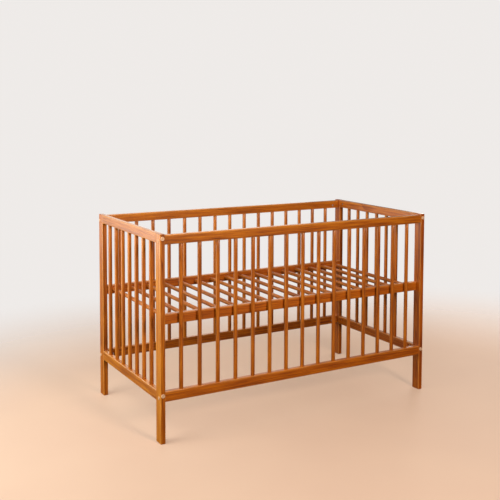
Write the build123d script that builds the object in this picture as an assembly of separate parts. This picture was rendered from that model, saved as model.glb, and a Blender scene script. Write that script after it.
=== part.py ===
from build123d import *
import os

# A slatted baby crib in solid wood. +Z is up and X runs along the crib; the origin is on the floor
# under the middle of the crib. The front is the -Y side. All sizes are in millimetres.

# Overall size over the posts
LENGTH = 1240.0
WIDTH = 680.0
HEIGHT = 785.0

# Corner posts: boards, thin along X and wide along Y
POST_THICK = 20.0
POST_WIDE = 44.0
POST_ROUND = 2.5
POST_TOP_ROUND = 1.2
FOOT_CHAMFER = 1.5

# Rails
TOP_RAIL_HIGH = 36.0
BOTTOM_RAIL_HIGH = 39.0
BOTTOM_RAIL_UNDERSIDE = 157.0
SIDE_RAIL_THICK = 22.0
SIDE_RAIL_SETBACK = 3.0
SIDE_RAIL_DROP = 4.0
RAIL_ROUND = 3.0

# Round bars: side slats, end slats and mattress base bars
BAR_DIAMETER = 16.0
BAR_GAP = 60.0
BAR_PITCH = BAR_DIAMETER + BAR_GAP
SIDE_SLATS = 15
END_SLATS = 7
BASE_BARS = 16
TENON_DIAMETER = 10.0
TENON_LONG = 14.0
HOLE_CLEARANCE = 0.2
HOLE_SPARE_DEPTH = 1.0
BLIND_SPARE_DEPTH = 0.5

# Mattress base
BASE_TOP = 481.0
BASE_RAIL_HIGH = 39.0
BASE_RAIL_THICK = 22.0
BASE_SIDE_GAP = 1.0
BASE_END_GAP = 1.0
BASE_DROP = 300.0

# Connector bolts and barrel nuts
BOLT_DIAMETER = 6.0
BOLT_BORE = 6.6
END_BOLT_LONG = 75.0
END_BOLT_HEAD = 15.0
SIDE_BOLT_LONG = 60.0
SIDE_BOLT_HEAD = 12.0
HEAD_THICK = 1.8
HEAD_ROUND = 0.8
HEX_ACROSS_FLATS = 4.0
HEX_DEPTH = 4.0
END_BOLT_ABOVE_SIDE_BOLT = 9.0
END_BOLT_BELOW_RAIL_TOP = (17.0, 14.0)
BORE_SPARE_DEPTH = 5.0
NUT_DIAMETER = 10.0
NUT_BORE = 6.2
NUT_FROM_RAIL_END = (22.0, 30.0)
NUT_LONG = (14.0, 16.0)
NUT_SLOT_WIDE = 1.2
NUT_SLOT_DEEP = 1.5

# Support pins of the mattress base, and their threaded inserts
PIN_DIAMETER = 8.0
PIN_STANDS_OUT = 13.0
PIN_THREAD_LONG = 11.0
PIN_FROM_POST_INNER_EDGE = 10.0
INSERT_DIAMETER = 9.0
INSERT_LONG = 12.0
INSERT_BORE = 6.2
PIN_SLOT_WIDE = 8.6
PIN_SLOT_DEEP = 15.0

# Places worked out from the sizes above
POST_X = (LENGTH - POST_THICK) / 2
POST_Y = (WIDTH - POST_WIDE) / 2
INNER_X = LENGTH / 2 - POST_THICK
INNER_Y = WIDTH / 2 - POST_WIDE
SIDE_RAIL_Y = WIDTH / 2 - SIDE_RAIL_SETBACK - SIDE_RAIL_THICK / 2
BOTTOM_RAIL_TOP = BOTTOM_RAIL_UNDERSIDE + BOTTOM_RAIL_HIGH
SIDE_TOP_RAIL_TOP = HEIGHT - SIDE_RAIL_DROP
BASE_RAIL_Y = SIDE_RAIL_Y - SIDE_RAIL_THICK / 2 - BASE_SIDE_GAP - BASE_RAIL_THICK / 2
BASE_RAIL_LONG = 2 * (INNER_X - BASE_END_GAP)
BASE_MID = BASE_TOP - BASE_RAIL_HIGH / 2
PIN_Y = INNER_Y + PIN_FROM_POST_INNER_EDGE
END_BOLT_HEIGHTS = (HEIGHT - END_BOLT_BELOW_RAIL_TOP[0], BOTTOM_RAIL_TOP - END_BOLT_BELOW_RAIL_TOP[1])
SIDE_BOLT_HEIGHTS = tuple(height - END_BOLT_ABOVE_SIDE_BOLT for height in END_BOLT_HEIGHTS)
PIN_HEIGHTS = (BASE_MID, BASE_MID - BASE_DROP)
SIDES = (-1, 1)

# Turns that lay something built along +Z along the named direction
TURN = {
    "+X": Rot(0, 90, 0),
    "-X": Rot(0, -90, 0),
    "+Y": Rot(-90, 0, 0),
    "-Y": Rot(90, 0, 0),
    "+Z": Rot(0, 0, 0),
    "-Z": Rot(180, 0, 0),
}


def toward(axis, sign):
    """The name of the direction along an axis on one side, such as +X."""
    return ("+" if sign > 0 else "-") + axis


def rod(diameter, length, start, direction):
    """A round rod from a start point, along a named direction."""
    blank = Cylinder(diameter / 2, length, align=(Align.CENTER, Align.CENTER, Align.MIN))
    return Pos(*start) * TURN[direction] * blank


def board(size, middle, along, radius):
    """A straight board with its long edges rounded."""
    blank = Box(*size)
    blank = fillet(blank.edges().filter_by(along), radius)
    return Pos(*middle) * blank


def group(solids):
    """Separate solids kept together as one node."""
    return Compound(list(solids))


def spread(count):
    """Places of evenly pitched bars, centred on zero."""
    return [(index - (count - 1) / 2) * BAR_PITCH for index in range(count)]


def tenon_hole(mouth, direction):
    """The blind hole that takes the turned-down end of a bar."""
    return rod(TENON_DIAMETER + HOLE_CLEARANCE, TENON_LONG + HOLE_SPARE_DEPTH, mouth, direction)


def bar(start, length, direction, opposite):
    """A round bar between two rails, with a turned-down end in each."""
    axis = {"X": (1, 0, 0), "Y": (0, 1, 0), "Z": (0, 0, 1)}[direction[1]]
    end = tuple(place + length * step for place, step in zip(start, axis))
    body = rod(BAR_DIAMETER, length, start, direction)
    body += rod(TENON_DIAMETER, TENON_LONG, start, opposite)
    body += rod(TENON_DIAMETER, TENON_LONG, end, direction)
    return body


# ---- Corner posts

def post(side_x, side_y):
    """A corner post, drilled for its bolts and its two threaded inserts."""
    body = Box(POST_THICK, POST_WIDE, HEIGHT)
    body = fillet(body.edges().filter_by(Axis.Z), POST_ROUND)
    body = fillet(body.edges().group_by(Axis.Z)[-1], POST_TOP_ROUND)
    body = chamfer(body.edges().group_by(Axis.Z)[0], FOOT_CHAMFER)
    body = Pos(side_x * POST_X, side_y * POST_Y, HEIGHT / 2) * body
    for height in END_BOLT_HEIGHTS:
        start = (side_x * POST_X, side_y * WIDTH / 2, height)
        body -= rod(BOLT_BORE, POST_WIDE, start, toward("Y", -side_y))
    for height in SIDE_BOLT_HEIGHTS:
        start = (side_x * LENGTH / 2, side_y * SIDE_RAIL_Y, height)
        body -= rod(BOLT_BORE, POST_THICK, start, toward("X", -side_x))
    for height in PIN_HEIGHTS:
        start = (side_x * INNER_X, side_y * PIN_Y, height)
        depth = INSERT_LONG + BLIND_SPARE_DEPTH
        body -= rod(INSERT_DIAMETER + HOLE_CLEARANCE, depth, start, toward("X", side_x))
    return body


# ---- End panels: a top rail, a bottom rail and seven slats

def end_rail(side_x, underside, high, bolt_height, slats_above):
    """A rail between the front and back posts of one end."""
    middle = (side_x * POST_X, 0, underside + high / 2)
    body = board((POST_THICK, 2 * INNER_Y, high), middle, Axis.Y, RAIL_ROUND)
    face = underside + high if slats_above else underside
    into = "-Z" if slats_above else "+Z"
    for place in spread(END_SLATS):
        body -= tenon_hole((side_x * POST_X, place, face), into)
    for side_y in SIDES:
        depth = END_BOLT_LONG - POST_WIDE + BORE_SPARE_DEPTH
        mouth = (side_x * POST_X, side_y * INNER_Y, bolt_height)
        body -= rod(BOLT_BORE, depth, mouth, toward("Y", -side_y))
        nut_y = side_y * (INNER_Y - NUT_FROM_RAIL_END[0])
        depth = (POST_THICK + NUT_LONG[0]) / 2 + BLIND_SPARE_DEPTH
        mouth = (side_x * INNER_X, nut_y, bolt_height)
        body -= rod(NUT_DIAMETER + HOLE_CLEARANCE, depth, mouth, toward("X", side_x))
    return body


def end_slats(side_x):
    """The seven slats of one end."""
    length = HEIGHT - TOP_RAIL_HIGH - BOTTOM_RAIL_TOP
    starts = [(side_x * POST_X, place, BOTTOM_RAIL_TOP) for place in spread(END_SLATS)]
    return group(bar(start, length, "+Z", "-Z") for start in starts)


# ---- Side panels: a top rail, a bottom rail and fifteen slats

def side_rail(side_y, underside, high, bolt_height, slats_above):
    """A rail between the left and right posts of one long side."""
    middle = (0, side_y * SIDE_RAIL_Y, underside + high / 2)
    body = board((2 * INNER_X, SIDE_RAIL_THICK, high), middle, Axis.X, RAIL_ROUND)
    face = underside + high if slats_above else underside
    into = "-Z" if slats_above else "+Z"
    for place in spread(SIDE_SLATS):
        body -= tenon_hole((place, side_y * SIDE_RAIL_Y, face), into)
    for side_x in SIDES:
        depth = SIDE_BOLT_LONG - POST_THICK + BORE_SPARE_DEPTH
        mouth = (side_x * INNER_X, side_y * SIDE_RAIL_Y, bolt_height)
        body -= rod(BOLT_BORE, depth, mouth, toward("X", -side_x))
        nut_x = side_x * (INNER_X - NUT_FROM_RAIL_END[1])
        depth = (SIDE_RAIL_THICK + NUT_LONG[1]) / 2 + BLIND_SPARE_DEPTH
        mouth = (nut_x, side_y * (SIDE_RAIL_Y - SIDE_RAIL_THICK / 2), bolt_height)
        body -= rod(NUT_DIAMETER + HOLE_CLEARANCE, depth, mouth, toward("Y", side_y))
    return body


def side_slat(place, side_y):
    """One slat of a long side."""
    length = SIDE_TOP_RAIL_TOP - TOP_RAIL_HIGH - BOTTOM_RAIL_TOP
    return bar((place, side_y * SIDE_RAIL_Y, BOTTOM_RAIL_TOP), length, "+Z", "-Z")


# ---- Mattress base: two rails and sixteen bars, hung on four pins

def base_rail(side_y):
    """A rail of the mattress base, with a slot open below at each end for its support pin."""
    size = (BASE_RAIL_LONG, BASE_RAIL_THICK, BASE_RAIL_HIGH)
    body = board(size, (0, side_y * BASE_RAIL_Y, BASE_MID), Axis.X, RAIL_ROUND)
    for place in spread(BASE_BARS):
        mouth = (place, side_y * (BASE_RAIL_Y - BASE_RAIL_THICK / 2), BASE_MID)
        body -= tenon_hole(mouth, toward("Y", side_y))
    for side_x in SIDES:
        start = (side_x * BASE_RAIL_LONG / 2, side_y * PIN_Y, BASE_MID)
        body -= rod(PIN_SLOT_WIDE, PIN_SLOT_DEEP, start, toward("X", -side_x))
        slot = Box(2 * PIN_SLOT_DEEP, PIN_SLOT_WIDE, BASE_RAIL_HIGH / 2)
        body -= Pos(start[0], start[1], BASE_MID - BASE_RAIL_HIGH / 4) * slot
    return body


def base_bars():
    """The bars that carry the mattress, across the crib."""
    inner = BASE_RAIL_Y - BASE_RAIL_THICK / 2
    return group(bar((place, -inner, BASE_MID), 2 * inner, "+Y", "-Y") for place in spread(BASE_BARS))


# ---- Fasteners

def hex_socket(across_flats, depth):
    """The socket of a hexagon key, sunk along +Z from the origin."""
    outline = RegularPolygon(across_flats / 2, 6, major_radius=False)
    return extrude(outline, depth)


def connector_bolt(head_diameter, length, seat, inward):
    """A flat-headed bolt whose head seats at a point and whose shank runs inward."""
    head = Cylinder(head_diameter / 2, HEAD_THICK, align=(Align.CENTER, Align.CENTER, Align.MAX))
    head = fillet(head.edges().group_by(Axis.Z)[0], HEAD_ROUND)
    shank = Cylinder(BOLT_DIAMETER / 2, length, align=(Align.CENTER, Align.CENTER, Align.MIN))
    bolt = head + shank - Pos(0, 0, -HEAD_THICK) * hex_socket(HEX_ACROSS_FLATS, HEX_DEPTH)
    return Pos(*seat) * TURN[inward] * bolt


def barrel_nut(length, middle, slot_toward, bolt_along):
    """A cross nut with its bore across it and a screwdriver slot in its open end."""
    nut = Cylinder(NUT_DIAMETER / 2, length)
    nut -= Rot(90, 0, 0) * Cylinder(NUT_BORE / 2, NUT_DIAMETER)
    slot_z = length / 2 - NUT_SLOT_DEEP / 2
    nut -= Pos(0, 0, slot_z) * Box(NUT_SLOT_WIDE, NUT_DIAMETER, NUT_SLOT_DEEP)
    turns = {
        ("X", "Y"): TURN[slot_toward],
        ("Y", "X"): TURN[slot_toward] * Rot(0, 0, 90),
    }
    return Pos(*middle) * turns[(slot_toward[1], bolt_along)] * nut


def corners():
    """The four corners, as signs along X and Y."""
    return [(side_x, side_y) for side_x in SIDES for side_y in SIDES]


def end_bolts():
    """The bolts through the narrow faces of the posts into the end rails."""
    bolts = []
    for x, y in corners():
        for height in END_BOLT_HEIGHTS:
            seat = (x * POST_X, y * WIDTH / 2, height)
            bolts.append(connector_bolt(END_BOLT_HEAD, END_BOLT_LONG, seat, toward("Y", -y)))
    return group(bolts)


def side_bolts():
    """The bolts through the wide faces of the posts into the side rails."""
    bolts = []
    for x, y in corners():
        for height in SIDE_BOLT_HEIGHTS:
            seat = (x * LENGTH / 2, y * SIDE_RAIL_Y, height)
            bolts.append(connector_bolt(SIDE_BOLT_HEAD, SIDE_BOLT_LONG, seat, toward("X", -x)))
    return group(bolts)


def end_barrel_nuts():
    """The nuts of the end rails, put in from inside the crib."""
    nut_y = INNER_Y - NUT_FROM_RAIL_END[0]
    nuts = []
    for x, y in corners():
        for height in END_BOLT_HEIGHTS:
            middle = (x * POST_X, y * nut_y, height)
            nuts.append(barrel_nut(NUT_LONG[0], middle, toward("X", -x), "Y"))
    return group(nuts)


def side_barrel_nuts():
    """The nuts of the side rails, put in from inside the crib."""
    nut_x = INNER_X - NUT_FROM_RAIL_END[1]
    nuts = []
    for x, y in corners():
        for height in SIDE_BOLT_HEIGHTS:
            middle = (x * nut_x, y * SIDE_RAIL_Y, height)
            nuts.append(barrel_nut(NUT_LONG[1], middle, toward("Y", -y), "X"))
    return group(nuts)


def threaded_inserts():
    """The inserts in the inner faces of the posts, at the upper and the lower base height."""
    inserts = []
    for x, y in corners():
        for height in PIN_HEIGHTS:
            start = (x * INNER_X, y * PIN_Y, height)
            insert = rod(INSERT_DIAMETER, INSERT_LONG, start, toward("X", x))
            inserts.append(insert - rod(INSERT_BORE, INSERT_LONG, start, toward("X", x)))
    return group(inserts)


def base_support_pins():
    """The pins that the mattress base hangs on, screwed into the upper inserts."""
    pins = []
    for x, y in corners():
        root = (x * INNER_X, y * PIN_Y, BASE_MID)
        tip = (x * (INNER_X - PIN_STANDS_OUT), y * PIN_Y, BASE_MID)
        pin = rod(BOLT_DIAMETER, PIN_THREAD_LONG, root, toward("X", x))
        pin += rod(PIN_DIAMETER, PIN_STANDS_OUT, tip, toward("X", x))
        pin -= Pos(*tip) * TURN[toward("X", x)] * hex_socket(HEX_ACROSS_FLATS, HEX_DEPTH)
        pins.append(pin)
    return group(pins)


def build():
    """Every node of the crib by name."""
    nodes = {}
    side_names = {-1: "front", 1: "back"}
    end_names = {-1: "left", 1: "right"}
    top_side = SIDE_TOP_RAIL_TOP - TOP_RAIL_HIGH
    top_end = HEIGHT - TOP_RAIL_HIGH
    for x, end in end_names.items():
        for y, side in side_names.items():
            nodes[f"post_{side}_{end}"] = post(x, y)
        nodes[f"{end}_end_top_rail"] = end_rail(x, top_end, TOP_RAIL_HIGH, END_BOLT_HEIGHTS[0], False)
        nodes[f"{end}_end_bottom_rail"] = end_rail(
            x, BOTTOM_RAIL_UNDERSIDE, BOTTOM_RAIL_HIGH, END_BOLT_HEIGHTS[1], True)
        nodes[f"{end}_end_slats"] = end_slats(x)
    for y, side in side_names.items():
        nodes[f"{side}_top_rail"] = side_rail(y, top_side, TOP_RAIL_HIGH, SIDE_BOLT_HEIGHTS[0], False)
        nodes[f"{side}_bottom_rail"] = side_rail(
            y, BOTTOM_RAIL_UNDERSIDE, BOTTOM_RAIL_HIGH, SIDE_BOLT_HEIGHTS[1], True)
        for number, place in enumerate(spread(SIDE_SLATS), start=1):
            nodes[f"{side}_slat_{number:02d}"] = side_slat(place, y)
        nodes[f"base_{side}_rail"] = base_rail(y)
    nodes["base_bars"] = base_bars()
    nodes["end_bolts"] = end_bolts()
    nodes["side_bolts"] = side_bolts()
    nodes["end_barrel_nuts"] = end_barrel_nuts()
    nodes["side_barrel_nuts"] = side_barrel_nuts()
    nodes["threaded_inserts"] = threaded_inserts()
    nodes["base_support_pins"] = base_support_pins()
    return nodes


os.makedirs("parts", exist_ok=True)
for name, shape in build().items():
    export_step(shape, f"parts/{name}.step")
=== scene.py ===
import math
import random

import bmesh
import bpy
from mathutils import Matrix, Vector


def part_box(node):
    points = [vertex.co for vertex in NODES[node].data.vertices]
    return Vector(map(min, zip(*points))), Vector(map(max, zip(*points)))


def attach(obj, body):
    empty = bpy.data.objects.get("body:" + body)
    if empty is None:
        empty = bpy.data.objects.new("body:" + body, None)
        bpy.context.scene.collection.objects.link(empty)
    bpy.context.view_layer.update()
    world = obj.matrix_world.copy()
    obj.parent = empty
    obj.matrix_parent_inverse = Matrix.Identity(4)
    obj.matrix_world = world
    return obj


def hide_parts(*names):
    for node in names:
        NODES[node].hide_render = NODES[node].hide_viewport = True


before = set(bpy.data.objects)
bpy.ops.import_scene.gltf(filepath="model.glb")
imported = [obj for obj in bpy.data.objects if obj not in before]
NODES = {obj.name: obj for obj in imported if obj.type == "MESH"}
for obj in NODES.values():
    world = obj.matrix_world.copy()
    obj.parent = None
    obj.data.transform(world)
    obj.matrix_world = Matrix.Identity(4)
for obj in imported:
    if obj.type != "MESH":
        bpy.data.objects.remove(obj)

# A slatted baby crib. All lengths are in metres. +Z is up, X runs along the crib, the front is the -Y side.

bpy.context.view_layer.update()
AXES = "XYZ"


# ---- Small geometry helpers

def middle(node):
    """The centre of a CAD node's box."""
    low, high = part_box(node)
    return (low + high) / 2


def half_size(node):
    """Half the size of a CAD node's box."""
    low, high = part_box(node)
    return (high - low) / 2


# ---- Shader node helpers

class Nodes:
    """Short calls that add nodes to a shader tree. Each takes numbers, tuples or outputs of other nodes."""

    def __init__(self, tree):
        self.tree = tree

    def put(self, value, socket):
        """A number, tuple or output goes to a socket."""
        if isinstance(value, bpy.types.NodeSocket):
            self.tree.links.new(value, socket)
        else:
            socket.default_value = value

    def math(self, operation, *values):
        """A Math node of one or two values."""
        node = self.tree.nodes.new("ShaderNodeMath")
        node.operation = operation
        for value, socket in zip(values, node.inputs):
            self.put(value, socket)
        return node.outputs[0]

    def add(self, first, *others):
        """The sum of some values."""
        for other in others:
            first = self.math("ADD", first, other)
        return first

    def less(self, first, second):
        """The first value less the second."""
        return self.math("SUBTRACT", first, second)

    def times(self, first, *others):
        """The product of some values."""
        for other in others:
            first = self.math("MULTIPLY", first, other)
        return first

    def distance(self, u, v):
        """The length of (u, v)."""
        return self.math("SQRT", self.add(self.times(u, u), self.times(v, v)))

    def coordinate(self, kind):
        """A texture coordinate, as three numbers."""
        coordinate = self.tree.nodes.new("ShaderNodeTexCoord")
        split = self.tree.nodes.new("ShaderNodeSeparateXYZ")
        self.tree.links.new(coordinate.outputs[kind], split.inputs[0])
        return list(split.outputs)

    def vector(self, x, y, z):
        """A vector from three values."""
        node = self.tree.nodes.new("ShaderNodeCombineXYZ")
        for value, socket in zip((x, y, z), node.inputs):
            self.put(value, socket)
        return node.outputs[0]

    def noise(self, vector, scale, detail=2.0, rough=0.5):
        """Smooth noise from 0 to 1."""
        node = self.tree.nodes.new("ShaderNodeTexNoise")
        self.put(vector, node.inputs["Vector"])
        node.inputs["Scale"].default_value = scale
        node.inputs["Detail"].default_value = detail
        node.inputs["Roughness"].default_value = rough
        return node.outputs["Fac"]

    def chance(self, vector, offset):
        """A random number from 0 to 1 that is the same wherever the vector is the same."""
        node = self.tree.nodes.new("ShaderNodeTexWhiteNoise")
        node.noise_dimensions = "4D"
        self.put(vector, node.inputs["Vector"])
        node.inputs["W"].default_value = offset
        return node.outputs["Value"]

    def span(self, value, low, high, to_low=0.0, to_high=1.0, smooth=False):
        """Maps a range to another, clamped."""
        node = self.tree.nodes.new("ShaderNodeMapRange")
        node.interpolation_type = "SMOOTHSTEP" if smooth else "LINEAR"
        node.clamp = True
        self.put(value, node.inputs["Value"])
        ends = {"From Min": low, "From Max": high, "To Min": to_low, "To Max": to_high}
        for name, number in ends.items():
            self.put(number, node.inputs[name])
        return node.outputs["Result"]

    def mix(self, share, first, second):
        """Mixes two colours."""
        node = self.tree.nodes.new("ShaderNodeMix")
        node.data_type = "RGBA"
        self.put(share, node.inputs["Factor"])
        for value, name in ((first, "A_Color"), (second, "B_Color")):
            self.put(value, next(s for s in node.inputs if s.identifier == name))
        return next(s for s in node.outputs if s.identifier == "Result_Color")

    def ramp(self, value, stops):
        """A colour ramp from (position, colour) stops."""
        node = self.tree.nodes.new("ShaderNodeValToRGB")
        ramp = node.color_ramp
        while len(ramp.elements) < len(stops):
            ramp.elements.new(0.5)
        for element, (place, color) in zip(ramp.elements, stops):
            element.position = place
            element.color = color
        self.put(value, node.inputs[0])
        return node.outputs["Color"]

    def bump(self, height, distance, strength, after=None):
        """A bump of some height in metres, on top of another one if there is one."""
        node = self.tree.nodes.new("ShaderNodeBump")
        node.inputs["Strength"].default_value = strength
        node.inputs["Distance"].default_value = distance
        self.put(height, node.inputs["Height"])
        if after is not None:
            self.put(after, node.inputs["Normal"])
        return node.outputs["Normal"]


class Material(Nodes):
    """A material being built around one Principled shader."""

    def __init__(self, name):
        self.material = bpy.data.materials.new(name)
        self.material.use_nodes = True
        super().__init__(self.material.node_tree)
        self.tree.nodes.clear()
        output = self.tree.nodes.new("ShaderNodeOutputMaterial")
        self.surface = self.tree.nodes.new("ShaderNodeBsdfPrincipled")
        self.tree.links.new(self.surface.outputs[0], output.inputs["Surface"])

    def set(self, name, value):
        """Sets or links an input of the surface."""
        self.put(value, self.surface.inputs[name])


# ---- Wood

# Each stain's colour where the wood is light, medium and dark, and the tones at which these stand
STAINS = {
    "golden": ((0.72, 0.240, 0.006, 1.0), (0.50, 0.124, 0.001, 1.0), (0.17, 0.026, 0.0005, 1.0)),
    "warm": ((0.69, 0.205, 0.004, 1.0), (0.49, 0.109, 0.001, 1.0), (0.165, 0.023, 0.0005, 1.0)),
    "deep": ((0.66, 0.170, 0.002, 1.0), (0.47, 0.092, 0.001, 1.0), (0.16, 0.020, 0.0005, 1.0)),
    "bar": ((0.67, 0.212, 0.014, 1.0), (0.48, 0.122, 0.006, 1.0), (0.19, 0.031, 0.002, 1.0)),
}
STAIN_TONES = (0.14, 0.48, 0.95)
BOARD_TONES = (0.45, 0.50)
BAR_TONES = (0.41, 0.53)
PORE_BROWN = (0.09, 0.016, 0.001, 1.0)
PORE_SHARE = 0.55

# Growth rings: their pitch, how far the pith lies from the piece, and how far they wander
RING_PITCH = 0.0042
PITH_NEAREST, PITH_FURTHEST = 0.035, 0.095
RING_WANDER = 0.030
LATE_WOOD_POWER = 2.2
EARLY_WOOD_START, EARLY_WOOD_END = 0.9, 0.12

# Noise drawn out along the grain: scale, detail, roughness, share of the scale along the grain
WANDER_U = (22.0, 2.0, 0.5, 0.10)
WANDER_V = (27.0, 2.0, 0.5, 0.10)
FIBRES = (900.0, 3.0, 0.6, 0.016)
PORES = (1500.0, 2.0, 0.55, 0.05)
STREAKS = (130.0, 3.0, 0.6, 0.045)
PORE_FROM, PORE_TO = 0.62, 0.72
STREAK_FROM, STREAK_TO = 0.34, 0.66

# Broad noise: scale and detail, and the share of the scale along the grain
CLOUDS = (9.0, 2.0)
UNEVEN_EDGES = (30.0, 3.0)
WAVES = (24.0, 2.0)
CLOUD_ALONG = 0.5
PIECE_SHIFT = 7.0

# How strongly each pattern darkens the wood, around the value at which it changes nothing
RINGS_EVEN, RINGS_DARKEN = 0.35, 0.34
STREAK_DARKENS, FIBRE_DARKENS, CLOUD_DARKENS = 0.42, 0.60, 0.55

# The stain is rubbed thin in a band along each edge. The wider band along the tops of rails is a painted
# highlight, for light from above on the rounded top edge
EDGE_WEAR_AND_HIGHLIGHT_GOLD = (0.84, 0.360, 0.070, 1.0)
EDGE_BAND = (0.0045, 0.0008)
TOP_HIGHLIGHT_BAND = (0.0095, 0.0020)
TOP_HIGHLIGHT_SHARE = 0.75
EDGE_SHARE = 0.60

# End grain, where the surface faces along the grain
END_FACING = (0.75, 0.97)
END_SHARE = 0.35

# Satin lacquer
ROUGH_LEAST = 0.34
ROUGH_FIBRE, ROUGH_PORE, ROUGH_CLOUD, ROUGH_END = 0.16, 0.15, 0.10, 0.12
LACQUER = {
    "IOR": 1.5,
    "Specular IOR Level": 0.6,
    "Specular Tint": (1.0, 0.84, 0.50, 1.0),
    "Coat Roughness": 0.25,
    "Coat IOR": 1.6,
}
BAR_COAT, BOARD_COAT = 0.40, 1.0
GRAIN_RELIEF = 0.00016
WAVE_RELIEF = 0.0012


def drawn_out(m, noise, u, v, w):
    """Noise across (u, v), drawn out along the grain w."""
    scale, detail, rough, along = noise
    return m.noise(m.vector(u, v, m.times(w, along)), scale, detail, rough)


def growth_rings(m, u, v, w, shift, turn, pith):
    """Dark late wood that ends sharply in early wood, ring after ring, around a pith beside the piece."""
    sway_u = m.times(m.less(drawn_out(m, WANDER_U, m.add(u, shift), v, w), 0.5), RING_WANDER)
    sway_v = m.times(m.less(drawn_out(m, WANDER_V, u, m.add(v, shift), w), 0.5), RING_WANDER)
    radius = m.distance(
        m.add(u, m.times(m.math("COSINE", turn), pith), sway_u),
        m.add(v, m.times(m.math("SINE", turn), pith), sway_v))
    ring = m.math("FRACT", m.math("DIVIDE", radius, RING_PITCH))
    late = m.math("POWER", ring, LATE_WOOD_POWER)
    early = m.span(ring, 0.0, EARLY_WOOD_END, EARLY_WOOD_START, 0.0)
    return m.math("MAXIMUM", late, early)


def rubbed_edges_and_top_highlight(m, local, halves, along, cloud_point):
    """How far the stain is rubbed off along a board's edges, with a painted highlight along the tops of
    rails, from 0 to 1.
    """
    near = []
    for offset, half in zip(local, halves):
        near.append(m.span(
            m.math("ABSOLUTE", offset), half - EDGE_BAND[0], half - EDGE_BAND[1], smooth=True))
    edge = m.times(near[0], near[1])
    if along != "Z":
        # Painted highlight: a paler band along the top of each rail, for light from above
        low, high = halves[1] - TOP_HIGHLIGHT_BAND[0], halves[1] - TOP_HIGHLIGHT_BAND[1]
        edge = m.math("MAXIMUM", edge, m.span(local[1], low, high, 0.0, TOP_HIGHLIGHT_SHARE, smooth=True))
    uneven = m.span(m.noise(cloud_point, *UNEVEN_EDGES), 0.35, 0.65, 0.35, 1.0)
    return m.times(edge, uneven, EDGE_SHARE)


def wood(name, stain, along, places, halves, seed, pale=(0.0, 0.0)):
    """Stained and lacquered hardwood, with its grain along one axis.

    places gives, for each of the two axes across the grain, a function that turns the coordinate
    into (distance from the middle of its own bar or board, number of that bar or board).
    halves is half a board's size on these axes, or None for round bars.
    pale makes a board paler towards the high end of these axes and darker towards the low end, a painted
    light and shade for a lit side and a shaded side."""
    m = Material(name)
    point = m.coordinate("Object")
    w = point[AXES.index(along)]
    local, number = [], []
    for axis in (axis for axis in AXES if axis != along):
        offset, index = places[axis](m, point[AXES.index(axis)])
        local.append(offset)
        number.append(index)
    u, v = local
    # Each piece is cut from another part of the tree
    piece = m.vector(number[0], number[1], float(seed))
    chances = [m.chance(piece, seed + k * 0.37) for k in range(4)]
    turn = m.times(chances[0], 2 * math.pi)
    pith = m.span(chances[1], 0, 1, PITH_NEAREST, PITH_FURTHEST)
    shift = m.times(chances[2], PIECE_SHIFT)
    rings = growth_rings(m, u, v, w, shift, turn, pith)
    fibre = drawn_out(m, FIBRES, m.add(u, shift), m.add(v, shift), w)
    pore = drawn_out(m, PORES, m.add(u, shift), m.less(v, shift), w)
    pore = m.span(pore, PORE_FROM, PORE_TO, smooth=True)
    streak = drawn_out(m, STREAKS, m.add(u, shift), m.add(v, shift), w)
    streak = m.span(streak, STREAK_FROM, STREAK_TO)
    cloud_point = m.vector(u, v, m.add(m.times(w, CLOUD_ALONG), shift))
    cloud = m.noise(cloud_point, *CLOUDS)
    # Colour
    tone = m.span(chances[3], 0, 1, *(BOARD_TONES if halves else BAR_TONES))
    for pattern, even, weight in (
            (rings, RINGS_EVEN, RINGS_DARKEN), (streak, 0.5, STREAK_DARKENS),
            (fibre, 0.5, FIBRE_DARKENS), (cloud, 0.5, CLOUD_DARKENS)):
        tone = m.add(tone, m.times(m.less(pattern, even), weight))
    # Painted light and shade: the tone leans paler towards a lit side and darker towards a shaded one
    for k, share in enumerate(pale):
        if share:
            tone = m.add(tone, m.span(local[k], -halves[k], halves[k], share, -share))
    color = m.ramp(tone, list(zip(STAIN_TONES, STAINS[stain])))
    color = m.mix(m.times(pore, PORE_SHARE), color, PORE_BROWN)
    if halves:
        # Pale gold: stain rubbed through on every edge, and a painted highlight along the tops of rails
        color = m.mix(rubbed_edges_and_top_highlight(m, local, halves, along, cloud_point), color, EDGE_WEAR_AND_HIGHLIGHT_GOLD)
    facing = m.math("ABSOLUTE", m.coordinate("Normal")[AXES.index(along)])
    end_grain = m.span(facing, *END_FACING, 0.0, 1.0, smooth=True)
    dark = STAINS[stain][-1]
    m.set("Base Color", m.mix(m.times(end_grain, END_SHARE), color, dark))
    # Lacquer, and a relief of fibres, pores, rings and slight waves
    m.set("Roughness", m.add(
        m.times(fibre, ROUGH_FIBRE), m.times(pore, ROUGH_PORE), m.times(cloud, ROUGH_CLOUD),
        m.times(end_grain, ROUGH_END), ROUGH_LEAST))
    for name_of_input, value in LACQUER.items():
        m.set(name_of_input, value)
    m.set("Coat Weight", BOARD_COAT if halves else BAR_COAT)
    relief = m.less(m.less(m.times(fibre, 0.5), pore), m.times(rings, 0.25))
    normal = m.bump(relief, GRAIN_RELIEF, 0.9)
    m.set("Normal", m.bump(m.noise(cloud_point, *WAVES), WAVE_RELIEF, 0.5, after=normal))
    return m.material


def mirrored(centre):
    """Across the grain, for pieces that stand at the same distance on both sides of the crib's middle."""
    def place(m, coordinate):
        return m.less(m.math("ABSOLUTE", coordinate), abs(centre)), m.math("SIGN", coordinate)
    return place


def single(centre):
    """Across the grain, for pieces that are all at one place."""
    def place(m, coordinate):
        return m.less(coordinate, centre), 1.0
    return place


def repeated(pitch):
    """Across the grain, for bars at whole multiples of a pitch."""
    def place(m, coordinate):
        index = m.math("ROUND", m.math("DIVIDE", coordinate, pitch))
        return m.less(coordinate, m.times(index, pitch)), index
    return place


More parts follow.
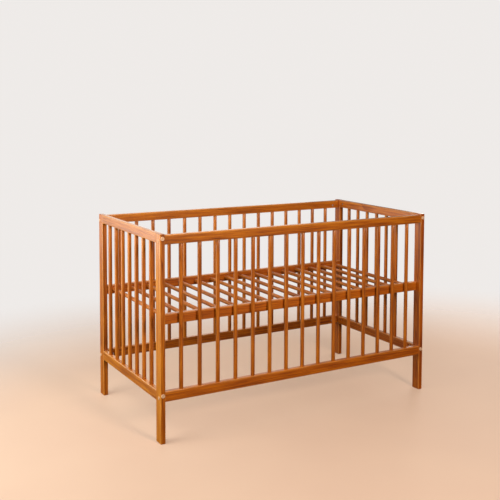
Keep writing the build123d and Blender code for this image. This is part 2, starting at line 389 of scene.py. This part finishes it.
def paint(node, material):
    """Gives a CAD node's slots one material."""
    for place in range(len(NODES[node].data.materials)):
        NODES[node].data.materials[place] = material


# ---- Metal

METAL_GRAIN_SCALE = 1400.0
METAL_CLOUD_SCALE = 160.0
SCRATCH_SCALE = 2600.0
SCRATCH_STRETCH = (0.15, 1.0, 0.6)
SCRATCH_RELIEF = 0.00004


def metal(name, color, dark, rough, seed, metallic=1.0):
    """Plated or turned metal, with fine scratches and uneven dulling."""
    m = Material(name)
    x, y, z = m.coordinate("Object")
    point = m.vector(x, y, z)
    fine = m.noise(point, METAL_GRAIN_SCALE + seed, 3.0, 0.6)
    cloud = m.noise(point, METAL_CLOUD_SCALE + seed, 3.0, 0.55)
    stretched = m.vector(*(m.times(c, share) for c, share in zip((x, y, z), SCRATCH_STRETCH)))
    scratch = m.noise(stretched, SCRATCH_SCALE)
    m.set("Base Color", m.ramp(cloud, ((0.30, dark), (0.62, color))))
    m.set("Roughness", m.add(m.times(cloud, 0.18), m.times(scratch, 0.14), rough))
    m.set("Metallic", metallic)
    grain = m.add(m.times(fine, 0.5), m.times(scratch, 0.5))
    m.set("Normal", m.bump(grain, SCRATCH_RELIEF, 0.8))
    return m.material


# ---- Round bars, turned from the solid with an eased shoulder at each end

BAR_SIDES = 40
BODY_STEPS = 12
SHOULDER = 0.0009
TENON_RADIUS = 0.0050
TENON_LONG = 0.0140
BOW = 0.00035
SWELL = 0.006


def bar_stations(length, radius):
    """(distance from the bar's start, radius) from one tenon end to the other."""
    one_end = [
        (0.0, TENON_RADIUS * 0.88),
        (TENON_RADIUS * 0.14, TENON_RADIUS),
        (TENON_LONG, TENON_RADIUS),
        (TENON_LONG, radius - SHOULDER),
        (TENON_LONG + SHOULDER * 0.3, radius - SHOULDER * 0.35),
        (TENON_LONG + SHOULDER, radius),
    ]
    body_long = length - 2 * TENON_LONG - 2 * SHOULDER
    body = [(TENON_LONG + SHOULDER + body_long * k / BODY_STEPS, radius) for k in range(1, BODY_STEPS)]
    return one_end + body + [(length - distance, r) for distance, r in reversed(one_end)]


def add_bar(mesh, along, start, end, centre, radius, wander):
    """Adds one bar to a bmesh, from tenon end to tenon end.

    Its line and its thickness wander a little, as a real dowel's do."""
    length = end - start
    first_axis, second_axis = ((1, 2), (2, 0), (0, 1))[along]
    bend_first, bend_second = wander.uniform(-1, 1), wander.uniform(-1, 1)
    rings = []
    for distance, r in bar_stations(length, radius):
        share = distance / length
        bow = BOW * math.sin(math.pi * share)
        swell = SWELL * math.sin(7 * share + bend_first * 3)
        size = min(r * (1 + swell), radius) if r >= radius else r
        ring = []
        for side in range(BAR_SIDES):
            angle = 2 * math.pi * side / BAR_SIDES
            place = [0.0, 0.0, 0.0]
            place[along] = start + distance
            place[first_axis] = centre[first_axis] + size * math.cos(angle) + bow * bend_first
            place[second_axis] = centre[second_axis] + size * math.sin(angle) + bow * bend_second
            ring.append(mesh.verts.new(place))
        rings.append(ring)
    for first, second in zip(rings, rings[1:]):
        for side in range(BAR_SIDES):
            following = (side + 1) % BAR_SIDES
            mesh.faces.new((first[side], first[following], second[following], second[side]))
    mesh.faces.new(list(reversed(rings[0])))
    mesh.faces.new(rings[-1])


def make_bars(node, axis, centres, body, material, wander):
    """A piece of round bars that stands for a CAD node. Its bars run the length of the node's box."""
    low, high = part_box(node)
    along = AXES.index(axis)
    mesh = bmesh.new()
    for centre in centres:
        add_bar(mesh, along, low[along], high[along], centre, BAR_RADIUS, wander)
    bmesh.ops.recalc_face_normals(mesh, faces=mesh.faces)
    for face in mesh.faces:
        face.smooth = len(face.verts) == 4
    name = f"turned_{node}"
    data = bpy.data.meshes.new(name)
    mesh.to_mesh(data)
    mesh.free()
    data.set_sharp_from_angle(angle=math.radians(40))
    data.materials.append(material)
    piece = bpy.data.objects.new(name, data)
    bpy.context.scene.collection.objects.link(piece)
    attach(piece, body)
    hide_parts(node)


def row(node, axis):
    """The places of evenly spaced bars along one axis of a CAD node's box."""
    count = round((half_size(node)[AXES.index(axis)] - BAR_RADIUS) * 2 / PITCH) + 1
    return [(k - (count - 1) / 2) * PITCH for k in range(count)]


SIDE_SLATS = sorted(name for name in NODES if name.startswith("front_slat_"))
BAR_RADIUS = half_size(SIDE_SLATS[0]).x
PITCH = middle(SIDE_SLATS[1]).x - middle(SIDE_SLATS[0]).x


def make_all_bars():
    """Side slats, end slats and base bars."""
    side_slat_wood = wood(
        "side_slat_stained_wood", "bar", "Z",
        {"X": repeated(PITCH / 2), "Y": mirrored(middle(SIDE_SLATS[0]).y)}, None, 2)
    end_slat_wood = wood(
        "end_slat_stained_wood", "bar", "Z",
        {"X": mirrored(middle("left_end_slats").x), "Y": repeated(PITCH)}, None, 3)
    base_bar_wood = wood(
        "base_bar_stained_wood", "bar", "Y",
        {"X": repeated(PITCH / 2), "Z": single(middle("base_bars").z)}, None, 4)
    wander = random.Random(11)
    for side in ("front", "back"):
        for number in range(1, len(SIDE_SLATS) + 1):
            node = f"{side}_slat_{number:02d}"
            make_bars(node, "Z", [middle(node)], "frame", side_slat_wood, wander)
    for end in ("left", "right"):
        node = f"{end}_end_slats"
        centres = [(middle(node).x, y, 0.0) for y in row(node, "Y")]
        make_bars(node, "Z", centres, "frame", end_slat_wood, wander)
    centres = [(x, 0.0, middle("base_bars").z) for x in row("base_bars", "X")]
    make_bars("base_bars", "Y", centres, "mattress_base", base_bar_wood, wander)


# ---- Boards: the CAD's rails and posts, each with a wood of its own

# Rail: axis of its grain, stain, seed, how much paler it is towards its top, a painted light from above. The
# stains differ from rail to rail as real boards do, and also stand in for light and shade: golden on the lit
# tops and left-hand end, deep on the shaded low back and right-hand rails
RAILS = {
    "front_top_rail": ("X", "golden", 5, 0.13),
    "back_top_rail": ("X", "golden", 15, 0.03),
    "front_bottom_rail": ("X", "warm", 6, 0.03),
    "back_bottom_rail": ("X", "warm", 16, 0.0),
    "base_front_rail": ("X", "warm", 7, 0.0),
    "base_back_rail": ("X", "deep", 17, 0.0),
    "left_end_top_rail": ("Y", "golden", 8, 0.0),
    "right_end_top_rail": ("Y", "warm", 18, 0.0),
    "left_end_bottom_rail": ("Y", "golden", 9, 0.0),
    "right_end_bottom_rail": ("Y", "deep", 19, 0.0),
}

# Post: stain, seed, how much paler it is towards its right-hand (+X) face, a painted light and shade across
# the post; below zero it is paler towards its left-hand face, lit by the lamps at the left. The stains
# differ as real posts do, and also stand in for light and shade: golden on the lit front left post, deep on
# the shaded right-hand posts
POSTS = {
    "post_front_left": ("golden", 1, -0.16),
    "post_front_right": ("deep", 12, -0.03),
    "post_back_left": ("warm", 13, -0.03),
    "post_back_right": ("deep", 14, 0.03),
}


def paint_boards():
    """Wood for every rail and post."""
    for rail, (along, stain, seed, painted_light_top) in RAILS.items():
        centre, half = middle(rail), half_size(rail)
        other = "Y" if along == "X" else "X"
        k = AXES.index(other)
        places = {other: single(centre[k]), "Z": single(centre.z)}
        material = wood(f"{rail}_wood", stain, along, places, (half[k], half.z), seed, (0.0, painted_light_top))
        paint(rail, material)
    for post, (stain, seed, painted_light_right) in POSTS.items():
        centre, half = middle(post), half_size(post)
        places = {"X": single(centre.x), "Y": single(centre.y)}
        material = wood(f"{post}_wood", stain, "Z", places, (half.x, half.y), seed, (painted_light_right, 0.0))
        paint(post, material)


def paint_fasteners():
    """Plated bolts, zinc nuts and pins, brass inserts."""
    warm = metal("warm_zinc_plating", (0.93, 0.68, 0.45, 1.0), (0.78, 0.53, 0.33, 1.0), 0.50, 3, 0.25)
    dull = metal("dull_zinc_plating", (0.80, 0.50, 0.27, 1.0), (0.62, 0.36, 0.18, 1.0), 0.58, 4, 0.2)
    zinc = metal("zinc_plated_steel", (0.66, 0.65, 0.62, 1.0), (0.46, 0.45, 0.43, 1.0), 0.26, 5)
    brass = metal("plain_brass", (0.80, 0.60, 0.30, 1.0), (0.58, 0.42, 0.20, 1.0), 0.24, 7)
    paint("end_bolts", warm)
    paint("side_bolts", dull)
    for node in ("end_barrel_nuts", "side_barrel_nuts", "base_support_pins"):
        paint(node, zinc)
    paint("threaded_inserts", brass)


# ---- Floor, light and camera

FLOOR_REACH = 14.0
FLOOR_TONES = ((0.3, (0.47, 0.33, 0.24, 1.0)), (0.7, (0.50, 0.36, 0.26, 1.0)))
FLOOR_GLOW = (0.64, 0.46, 0.34, 1.0)
FLOOR_GLOW_STRENGTH = 0.50
FLOOR_MIDDLE_Y = -0.7
FLOOR_FADE_FROM, FLOOR_FADE_TO = 1.3, 3.0


def make_floor():
    """A plain pale floor, that fades into the pale surround away from the crib."""
    data = bpy.data.meshes.new("floor")
    corners = [(x * FLOOR_REACH, y * FLOOR_REACH, 0) for x, y in ((-1, -1), (1, -1), (1, 1), (-1, 1))]
    data.from_pydata(corners, [], [(0, 1, 2, 3)])
    m = Material("pale_floor")
    x, y, z = m.coordinate("Object")
    m.set("Base Color", m.ramp(m.noise(m.vector(x, y, z), 2.0), FLOOR_TONES))
    m.set("Emission Color", FLOOR_GLOW)
    m.set("Emission Strength", FLOOR_GLOW_STRENGTH)
    m.set("Roughness", 0.6)
    away = m.distance(x, m.add(y, -FLOOR_MIDDLE_Y))
    m.set("Alpha", m.span(away, FLOOR_FADE_FROM, FLOOR_FADE_TO, 1.0, 0.0, smooth=True))
    data.materials.append(m.material)
    floor = bpy.data.objects.new("floor", data)
    floor.visible_diffuse = False
    floor.visible_glossy = False
    bpy.context.scene.collection.objects.link(floor)


def area_light(name, place, target, width, height, power, color, reflected=True):
    """A soft rectangular light that faces a point, and doesn't show itself."""
    data = bpy.data.lights.new(name, "AREA")
    data.shape = "RECTANGLE"
    data.size = width
    data.size_y = height
    data.energy = power
    data.color = color
    light = bpy.data.objects.new(name, data)
    light.location = place
    light.rotation_euler = (Vector(target) - Vector(place)).to_track_quat("-Z", "Y").to_euler()
    light.visible_camera = False
    light.visible_glossy = reflected
    bpy.context.scene.collection.objects.link(light)


def make_lights():
    """Large soft boxes, the strongest of them at the left and the front."""
    area_light("wall_glow_left", (-2.4, 2.2, 1.2), (0, 0, 0.45), 2.4, 2.2, 28.0, (0.94, 0.98, 1.0))
    area_light("window_low_left", (-2.6, 0.6, 0.7), (0, 0, 0.45), 2.0, 1.2, 38.0, (0.93, 1.0, 1.0))
    area_light("window_near_left", (-1.9, -0.3, 1.5), (0, 0, 0.50), 1.2, 1.2, 24.0, (1.0, 1.0, 0.95), False)
    area_light("front_box", (0.15, -3.7, 1.9), (0, 0, 0.40), 0.7, 0.7, 86.0, (1.0, 0.80, 0.66))
    area_light("front_left_box", (-1.3, -1.8, 1.8), (0, 0, 0.50), 1.2, 0.8, 12.0, (1.0, 0.82, 0.73))
    area_light("wall_glow_back", (0.8, 3.0, 1.5), (0, 0, 0.45), 2.4, 2.0, 17.0, (1.0, 0.80, 0.68))
    area_light("right_fill", (3.0, 1.2, 1.1), (0, 0, 0.45), 2.0, 1.6, 32.0, (1.0, 0.86, 0.76))


FAINT = 0.03
WALL_GLOW = 0.30
WALL_SEEN = (0.86, 0.83, 0.81, 1.0)
WALL_REFLECTED = (0.90, 0.74, 0.62, 1.0)
WALL_BACKWARD = (-0.05, 0.30)
WALL_RIGHTWARD = (-0.15, 0.25)
WALL_UPWARD = (-0.60, -0.35)


def make_world():
    """A pale surround. It is seen, it gives a faint light, and it is reflected as a wall behind the crib."""
    world = bpy.data.worlds.new("pale_room")
    bpy.context.scene.world = world
    world.use_nodes = True
    tree = world.node_tree
    background = tree.nodes["Background"]
    seen_by = tree.nodes.new("ShaderNodeLightPath").outputs
    n = Nodes(tree)
    x, y, z = n.coordinate("Generated")
    wall = n.span(y, *WALL_BACKWARD, FAINT, WALL_GLOW, smooth=True)
    wall = n.span(x, *WALL_RIGHTWARD, FAINT, wall, smooth=True)
    wall = n.span(z, *WALL_UPWARD, FAINT, wall, smooth=True)
    unseen = n.span(seen_by["Is Glossy Ray"], 0.0, 1.0, FAINT, wall, smooth=True)
    strength = n.span(seen_by["Is Camera Ray"], 0.0, 1.0, unseen, 1.0, smooth=True)
    n.put(n.mix(seen_by["Is Camera Ray"], WALL_REFLECTED, WALL_SEEN), background.inputs["Color"])
    n.put(strength, background.inputs["Strength"])


CAMERA_PLACE = (-1.8235, -3.2811, 1.2608)
CAMERA_YAW = 32.36
CAMERA_PITCH = 3.99
CAMERA_ROLL = 0.46
LENS = 62.45
SENSOR = 36.0
SHIFT = (-0.1275, -0.1698)


def make_camera():
    """The camera looks from the front left, from a little above the crib."""
    yaw, pitch, roll = (math.radians(a) for a in (CAMERA_YAW, CAMERA_PITCH, CAMERA_ROLL))
    forward = Vector((math.sin(yaw) * math.cos(pitch), math.cos(yaw) * math.cos(pitch), -math.sin(pitch)))
    right = Vector((math.cos(yaw), -math.sin(yaw), 0.0))
    up = right.cross(forward)
    rolled_right = math.cos(roll) * right + math.sin(roll) * up
    rolled_up = -math.sin(roll) * right + math.cos(roll) * up
    data = bpy.data.cameras.new("camera")
    data.lens = LENS
    data.sensor_width = SENSOR
    data.shift_x, data.shift_y = SHIFT
    camera = bpy.data.objects.new("camera", data)
    columns = Matrix((rolled_right, rolled_up, -forward)).transposed()
    camera.matrix_world = Matrix.Translation(CAMERA_PLACE) @ columns.to_4x4()
    bpy.context.scene.collection.objects.link(camera)
    bpy.context.scene.camera = camera


paint_boards()
make_all_bars()
paint_fasteners()
make_floor()
make_world()
make_lights()
make_camera()
bpy.context.scene.view_settings.view_transform = "Standard"

bpy.context.view_layer.update()
